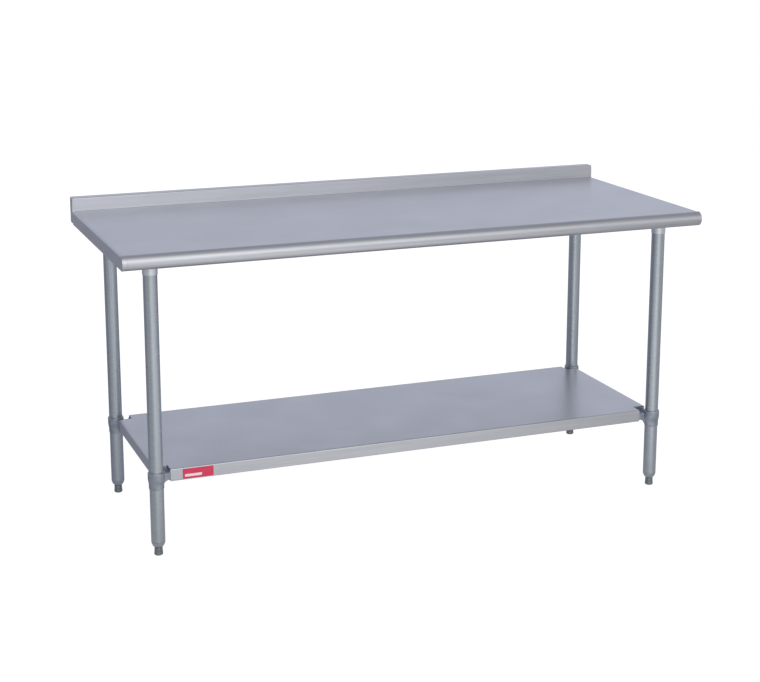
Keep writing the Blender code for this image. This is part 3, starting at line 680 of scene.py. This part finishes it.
def make_rim_end_caps():
    """Welded caps that close the roll, ground round at their outer edge."""
    gap_angle = math.degrees(GAP / RIM_RADIUS)
    outline = arc((0, 0), RIM_RADIUS, 90 + gap_angle, 270 - gap_angle, 40)
    thickness = CAP_HIGH.x - CAP_LOW.x
    for name, side in (("left", -1), ("right", 1)):
        bm = plate(outline, thickness, END_ROUND, 10, lambda point: point.x < -2 * GAP)
        at = (side * (TOP_HIGH.x - thickness), TOP_LOW.y + RIM_RADIUS, WORK_HEIGHT - RIM_RADIUS)
        add_end_cap(f"rim_cap_{name}", bm, side, at, f"rim_end_cap_{name}")


def make_riser_end_caps():
    """Welded plates that close the riser's ends and meet the turned-down ends of the top."""
    depth = RISER_CAP_HIGH.y - RISER_CAP_LOW.y
    height = RISER_CAP_HIGH.z - RISER_CAP_LOW.z
    face = RISER_FACE_Y - RISER_CAP_LOW.y
    level = WORK_HEIGHT - RISER_CAP_LOW.z
    thickness = RISER_CAP_HIGH.x - RISER_CAP_LOW.x
    corner = 0.0028
    outline = arc((depth - corner, height - corner), corner, 0, 90, 8)
    outline += arc((face + corner, height - corner), corner, 90, 180, 8)
    outline += arc((face - COVE_RADIUS, level + COVE_RADIUS), COVE_RADIUS, 0, -70, 6)
    outline += [(0, level - END_ROUND / 2), (0, 0), (depth, 0)]

    def away_from_turned_down_end(point):
        return point.y > level + 2 * COVE_RADIUS or point.x > face + GAP

    for name, side in (("left", -1), ("right", 1)):
        bm = plate(outline, thickness, 0.0022, 6, away_from_turned_down_end)
        at = (side * (STRIP_END + GAP), RISER_CAP_LOW.y, RISER_CAP_LOW.z)
        add_end_cap(f"riser_cap_{name}", bm, side, at, f"riser_end_cap_{name}")


def add_end_cap(name, bm, side, at, replaced):
    """Turns a bmesh plate's x and y to the table's y and z, with its thickness outwards, and adds it."""
    bm.transform(Matrix(((0, 0, side, 0), (1, 0, 0, 0), (0, 1, 0, 0), (0, 0, 0, 1))))
    mesh = grained(finished(bm, name))
    piece(name, mesh, (STEEL, STEEL_ENDS), "table_frame", "brushed_stainless", replaced, at=at)


def make_studs_and_nuts():
    radius = (STUD_HIGH.x - STUD_LOW.x) / 2
    stud = finished(threaded(radius, 0.001, STUD_HIGH.z - STUD_LOW.z, 0.0004, 24), "stud")
    nut = nut_mesh()
    for number in range(1, 7):
        low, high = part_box(f"weld_stud_{number}")
        at = ((low.x + high.x) / 2, (low.y + high.y) / 2, low.z)
        piece(
            f"threaded_weld_stud_{number}", stud, (ZINC,), "table_frame", "zinc_fasteners",
            f"weld_stud_{number}", at=at,
        )
        low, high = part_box(f"channel_nut_{number}")
        at = ((low.x + high.x) / 2, (low.y + high.y) / 2, low.z)
        piece(
            f"hexagon_nut_{number}", nut, (ZINC,), "table_frame", "zinc_fasteners",
            f"channel_nut_{number}", at=at,
        )


def nut_mesh():
    """A hexagon nut with its corners chamfered at both faces."""
    across_corners = (NUT_HIGH.x - NUT_LOW.x) / 2
    height = NUT_HIGH.z - NUT_LOW.z
    slope = 0.0009
    bevelled = [(0, 0), (across_corners - slope, 0), (across_corners + GAP, slope * 0.8)]
    bevelled += [(radius, height - z) for radius, z in reversed(bevelled)]
    nut = helper(finished(plate(arc((0, 0), across_corners, 0, 300, 5), height), "nut"))
    cone = helper(finished(revolved(bevelled, 48), "cone"))
    bore = helper(rod((STUD_HIGH.x - STUD_LOW.x) / 2 + GAP, 0.03), Matrix.Translation((0, 0, -0.01)))
    combined(nut, [cone], "INTERSECT")
    combined(nut, [bore], "DIFFERENCE")
    return finished(applied(nut, cone, bore), "nut")


# ---------------------------------------------------------------- legs, sockets and feet


def corner_places():
    """Each corner's name, the place of its leg's axis on the floor, and its turn."""
    for number, corner in enumerate(CORNERS):
        low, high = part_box(f"leg_{corner}")
        yield corner, Vector(((low.x + high.x) / 2, (low.y + high.y) / 2, 0)), number * QUARTER


def pointing_inward(start):
    """Takes +Z to the front left corner's inward diagonal, from start."""
    return Matrix.Translation(start) @ Vector((1, 1, 0)).to_track_quat("Z", "Y").to_matrix().to_4x4()


def make_sockets():
    """Machined sockets on the cross channels, which take the tops of the legs."""
    height = SOCKET_HIGH.z - SOCKET_LOW.z
    lip = 0.0015
    fillet = 0.004
    edge = 0.0008
    profile = [(0, 0), (SOCKET_FLANGE_RADIUS - edge, 0)]
    profile += arc((SOCKET_FLANGE_RADIUS - edge, -edge), edge, 90, 0, 4)[1:]
    profile += arc((SOCKET_FLANGE_RADIUS - edge, edge - SOCKET_FLANGE), edge, 0, -90, 4)
    profile += arc((SOCKET_RADIUS + fillet, -SOCKET_FLANGE - fillet), fillet, 90, 180, 8)
    profile += arc((SOCKET_RADIUS - lip, -height + lip), lip, 0, -90, 6)
    profile.append((0, -height))
    screw_z = -SOCKET_SCREW_DEPTH
    body = helper(finished(revolved(profile, 96), "socket"))
    boss = helper(finished(revolved(boss_profile(), 48), "boss"), pointing_inward((0, 0, screw_z)))
    bore = helper(rod(BORE_RADIUS, height, 96), Matrix.Translation((0, 0, -height - SOCKET_FLANGE)))
    hole = helper(rod(SCREW_RADIUS + GAP, 0.06), pointing_inward((0, 0, screw_z)))
    combined(body, [boss], "UNION")
    combined(body, [bore, hole], "DIFFERENCE")
    mesh = finished(applied(body, boss, bore, hole), "socket")
    for corner, axis, turn in corner_places():
        at = axis + Vector((0, 0, SOCKET_HIGH.z))
        piece(
            f"machined_socket_{corner}", mesh, (FITTING,), "table_frame", "stainless_fittings",
            f"leg_socket_{corner}", at=at, turn=turn,
        )
        add_set_screw("socket", corner, axis, turn, SOCKET_HIGH.z + screw_z, "table_frame")


def boss_profile():
    edge = 0.0012
    return [(0, BOSS_REACH)] + arc((BOSS_RADIUS - edge, BOSS_REACH - edge), edge, 90, 0, 4) + [
        (BOSS_RADIUS, 0.0),
        (0, 0.0),
    ]


def add_set_screw(owner, corner, axis, turn, height, body):
    obj = piece(
        f"threaded_{owner}_set_screw_{corner}", SET_SCREW, (ZINC,), body, "zinc_fasteners",
        f"{owner}_set_screw_{corner}",
    )
    inward = Matrix.Rotation(turn, 4, "Z") @ pointing_inward((0, 0, 0))
    reach = Matrix.Translation((0, 0, LEG_RADIUS + GAP))
    obj.matrix_world = Matrix.Translation(axis + Vector((0, 0, height))) @ inward @ reach


def set_screw_mesh():
    """A grub screw with a hexagon socket in its far end."""
    screw = helper(finished(threaded(SCREW_RADIUS, 0.00125, SCREW_LENGTH, 0.0007, 32), "screw"))
    socket = plate(arc((0, 0), HEX_RADIUS, 0, 300, 5), 0.02)
    place = Matrix.Translation((0, 0, SCREW_LENGTH - HEX_DEPTH))
    key = helper(finished(socket, "key"), place)
    combined(screw, [key], "DIFFERENCE")
    return finished(applied(screw, key), "set_screw", 50)


def make_legs():
    """Tubes with their cut ends broken, and machined ends pressed into them."""
    bottom, top = LEG_LOW.z, LEG_HIGH.z
    inner = LEG_RADIUS - TUBE_WALL
    edge = 0.0003
    profile = [(LEG_RADIUS - edge, top), (LEG_RADIUS, top - edge), (LEG_RADIUS, bottom + edge)]
    profile += [(LEG_RADIUS - edge, bottom), (inner, bottom), (inner, top)]
    tube = finished(revolved(profile, 96, closed=True), "leg_tube")
    end = finished(revolved(insert_profile(), 96, closed=True), "leg_end")
    for corner, axis, _ in corner_places():
        piece(
            f"leg_tube_{corner}", tube, (TUBE,), "table_frame", "polished_tube", f"leg_{corner}", at=axis
        )
        piece(
            f"leg_end_{corner}", end, (TUBE,), "table_frame", "stainless_fittings",
            f"leg_insert_{corner}", at=axis,
        )


def insert_profile():
    """(radius, height) points of a leg's bullet-shaped end, from its plug down and back up its bore."""
    bore = STEM_RADIUS + GAP
    plug = LEG_RADIUS - TUBE_WALL - GAP
    taper_top = LEG_LOW.z - GAP
    taper_bottom = INSERT_LOW.z
    taper_end = 0.0138
    depth = taper_top - taper_bottom
    steps = 14
    taper = []
    for step in range(steps + 1):
        share = step / steps
        bulge = math.sin(math.pi * share) * 0.0013
        radius = LEG_RADIUS + (taper_end - LEG_RADIUS) * share**1.35 + bulge * share
        taper.append((radius, taper_top - depth * share))
    return [(plug, INSERT_HIGH.z), (plug, taper_top), *taper, (bore, taper_bottom), (bore, INSERT_HIGH.z)]


def make_feet():
    """Turned feet with a rounded sole, each on a threaded stem."""
    neck_top = FOOT_HIGH.z
    shoulder = 0.0238
    neck_radius = 0.0095
    top_radius = 0.0119
    sole_edge = 0.004
    chamfer = 0.0012
    bore = STEM_RADIUS + GAP
    profile = [(bore, neck_top), (neck_radius - 0.0003, neck_top), (neck_radius, neck_top - 0.0003)]
    profile += [(neck_radius, shoulder), (top_radius - chamfer, shoulder)]
    profile += arc((top_radius - chamfer, shoulder - chamfer), chamfer, 90, 0, 5)[1:]
    # Two shallow turned grooves give the foot its grip.
    for groove in (0.0165, 0.0125):
        for offset, cut in ((0.0011, 0), (0.0006, 0.0006), (-0.0006, 0.0006), (-0.0011, 0)):
            height = groove + offset
            share = (shoulder - height) / shoulder
            profile.append((top_radius + (FOOT_RADIUS - top_radius) * share - cut, height))
    profile += arc((FOOT_RADIUS - sole_edge, sole_edge), sole_edge, 0, -90, 8)
    profile += [(0, 0), (0, STEM_LOW.z - GAP), (bore, STEM_LOW.z - GAP)]
    foot = finished(revolved(profile, 96, closed=True), "turned_foot")
    stem = finished(threaded(STEM_RADIUS, 0.00175, STEM_HIGH.z - STEM_LOW.z, 0.0009), "stem")
    for corner, axis, _ in corner_places():
        body = f"{corner}_foot"
        piece(f"turned_foot_{corner}", foot, (FOOT,), body, "foot_metal", f"foot_{corner}", at=axis)
        at = axis + Vector((0, 0, STEM_LOW.z))
        piece(
            f"threaded_stem_{corner}", stem, (ZINC,), body, "zinc_fasteners", f"foot_stem_{corner}", at=at
        )


# ---------------------------------------------------------------- pieces of the shelf


def make_undershelf():
    """A shallow pan with notched corners, its four skirts turned down and hemmed."""
    half = (SHELF_HIGH.x - SHELF_BEND, (SHELF_HIGH.y - SHELF_LOW.y) / 2 - SHELF_BEND)
    notch = (half[0] + SHELF_BEND - SHELF_NOTCH, half[1] + SHELF_BEND - SHELF_NOTCH)
    drop = SHELF_HIGH.z - SHELF_LOW.z
    bm = bmesh.new()
    bmesh.ops.create_grid(bm, x_segments=3, y_segments=3, size=1)
    for vert in bm.verts:
        for axis in (0, 1):
            outer = abs(vert.co[axis]) > 0.9
            vert.co[axis] = math.copysign(half[axis] if outer else notch[axis], vert.co[axis])
    corners = [
        face
        for face in bm.faces
        if all(abs(face.calc_center_median()[axis]) > notch[axis] for axis in (0, 1))
    ]
    bmesh.ops.delete(bm, geom=corners, context="FACES")
    for outward in ((-1, 0, 0), (1, 0, 0), (0, -1, 0), (0, 1, 0)):
        axis = 0 if outward[0] else 1
        limit = half[axis] - MERGE
        side = [
            edge
            for edge in bm.edges
            if edge.is_boundary and all(vert.co[axis] * outward[axis] > limit for vert in edge.verts)
        ]
        fold_down(bm, side, outward, SHELF_BEND, drop)
    mesh = sheet_mesh(bm, "undershelf_sheet", SHELF_GAUGE)
    at = (0, (SHELF_LOW.y + SHELF_HIGH.y) / 2, SHELF_HIGH.z)
    piece(
        "undershelf_sheet", mesh, (STEEL, STEEL_ENDS), "adjustable_shelf", "brushed_stainless",
        "undershelf", at=at,
    )


def web_mesh():
    """Joins a collar's fins behind the edges of the shelf's notch."""
    end = FIN_OFFSET
    near = NOTCH_REACH + 0.0005
    far = near + WEB_THICKNESS
    outline = [(end, near), (near, near), (near, end), (far, end), (far, far), (end, far)]
    top = -SHELF_GAUGE - 2 * GAP
    bm = plate(outline, WEB_DEPTH + top)
    bm.transform(Matrix.Translation((0, 0, -WEB_DEPTH)))
    return finished(bm, "web")


def gusset_mesh():
    """Closes the corner between a collar's fins and web, below the fins' saddles."""
    end = FIN_OFFSET
    far = NOTCH_REACH + WEB_THICKNESS / 2
    bm = plate([(end, end), (far, end), (far, far), (end, far)], WEB_DEPTH - FIN_SADDLE - 2 * GUSSET_STEP)
    bm.transform(Matrix.Translation((0, 0, -WEB_DEPTH + GUSSET_STEP)))
    return finished(bm, "gusset")


def fin_mesh():
    low = -COLLAR_HEIGHT + 0.004
    sweep = arc((COLLAR_BOTTOM_RADIUS + FIN_SWEEP, -FIN_HEIGHT - FIN_SWEEP), FIN_SWEEP, 90, 165, 14)
    top = -SHELF_GAUGE - GAP
    inner = 0.012
    saddle = [(NOTCH_REACH, top), (NOTCH_REACH - 0.004, -FIN_SADDLE), (inner, -FIN_SADDLE)]
    outline = [(inner, low), *reversed(sweep), (FIN_REACH, -FIN_HEIGHT), (FIN_REACH, top), *saddle]
    bm = plate(outline, FIN_THICKNESS)
    bm.transform(Matrix.Rotation(math.pi / 2, 4, "X") @ Matrix.Translation((0, 0, -FIN_THICKNESS / 2)))
    return finished(bm, "fin")


def make_collars():
    """Cast collars that carry the shelf's corners. Every inner corner has a casting's soft fillet."""
    lip = 0.0018
    profile = [(0, 0), (COLLAR_TOP_RADIUS - lip, 0), (COLLAR_TOP_RADIUS, -lip)]
    profile += [(COLLAR_TOP_RADIUS, -COLLAR_HEIGHT * 0.42), (COLLAR_BOTTOM_RADIUS, -COLLAR_HEIGHT * 0.72)]
    profile += [(COLLAR_BOTTOM_RADIUS, -COLLAR_HEIGHT), (0, -COLLAR_HEIGHT)]
    screw_z = -COLLAR_SCREW_DEPTH
    body = helper(finished(revolved(profile, 96), "collar"))
    boss = helper(finished(revolved(boss_profile(), 48), "boss"), pointing_inward((0, 0, screw_z)))
    fins = [
        helper(fin_mesh(), Matrix.Translation((0, FIN_OFFSET, 0))),
        helper(fin_mesh(), Matrix.Translation((FIN_OFFSET, 0, 0)) @ Matrix.Rotation(QUARTER, 4, "Z")),
        helper(web_mesh()),
        helper(gusset_mesh()),
    ]
    combined(body, [boss, *fins], "UNION")
    skin = body.modifiers.new("cast skin", "REMESH")
    skin.mode = "VOXEL"
    skin.voxel_size = 0.0009
    soften = body.modifiers.new("fillets", "SMOOTH")
    soften.factor = 0.5
    soften.iterations = 8
    casting = helper(applied(body, boss, *fins))
    bore = helper(rod(BORE_RADIUS, 0.1, 96), Matrix.Translation((0, 0, -0.07)))
    hole = helper(rod(SCREW_RADIUS + GAP, 0.06), pointing_inward((0, 0, screw_z)))
    combined(casting, [bore, hole], "DIFFERENCE")
    mesh = finished(applied(casting, bore, hole), "collar", 50)
    for corner, axis, turn in corner_places():
        at = axis + Vector((0, 0, COLLAR_HIGH.z))
        piece(
            f"cast_collar_{corner}", mesh, (CASTING,), "adjustable_shelf", "cast_collars",
            f"shelf_collar_{corner}", at=at, turn=turn,
        )
        add_set_screw("collar", corner, axis, turn, COLLAR_HIGH.z + screw_z, "adjustable_shelf")


def make_label():
    """A blank vinyl label with round corners and a softly rolled edge."""
    half = ((LABEL_HIGH.x - LABEL_LOW.x) / 2, (LABEL_HIGH.z - LABEL_LOW.z) / 2)
    corner = 0.002
    outline = []
    for turn, (x, y) in enumerate(((1, 1), (-1, 1), (-1, -1), (1, -1))):
        centre = (x * (half[0] - corner), y * (half[1] - corner))
        outline += arc(centre, corner, 90 * turn, 90 * turn + 90, 8)
    bm = plate(outline, LABEL_HIGH.y - LABEL_LOW.y, 0.0003, 3)
    bm.transform(Matrix.Rotation(math.pi / 2, 4, "X"))
    at = ((LABEL_LOW.x + LABEL_HIGH.x) / 2, LABEL_HIGH.y, (LABEL_LOW.z + LABEL_HIGH.z) / 2)
    piece(
        "blank_label", finished(bm, "label"), (VINYL,), "adjustable_shelf", "label_vinyl",
        "shelf_label", at=at,
    )


def dress_frame_nodes():
    """Gives the CAD nodes that stay on show their materials."""
    galvanised = galvanised_steel()
    mastic = deadening_mastic()
    for name in ("left", "right", "centre"):
        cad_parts[f"top_channel_{name}"].material_slots[0].material = galvanised
        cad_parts[f"sound_deadening_pad_{name}"].material_slots[0].material = mastic
    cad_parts["shelf_stiffener"].material_slots[0].material = galvanised


make_camera()
make_studio()
make_floor()
STEEL = brushed_stainless("brushed stainless steel", 0, (1, 0, 0), 0.25)
STEEL_ENDS = brushed_stainless("brushed stainless steel ends", 2, (0, 1, 0))
FITTING = turned_stainless("turned stainless steel", "#CFD6DC", "#DEE3E8")
TUBE = polished_tube()
FOOT = turned_stainless("turned stainless steel, oiled", "#7F868A", "#979DA0")
CASTING = cast_aluminium()
ZINC = zinc_plate()
VINYL = label_vinyl()
SET_SCREW = set_screw_mesh()
make_worktop()
make_rim_end_caps()
make_riser_end_caps()
make_studs_and_nuts()
make_sockets()
make_legs()
make_feet()
make_undershelf()
make_collars()
make_label()
dress_frame_nodes()
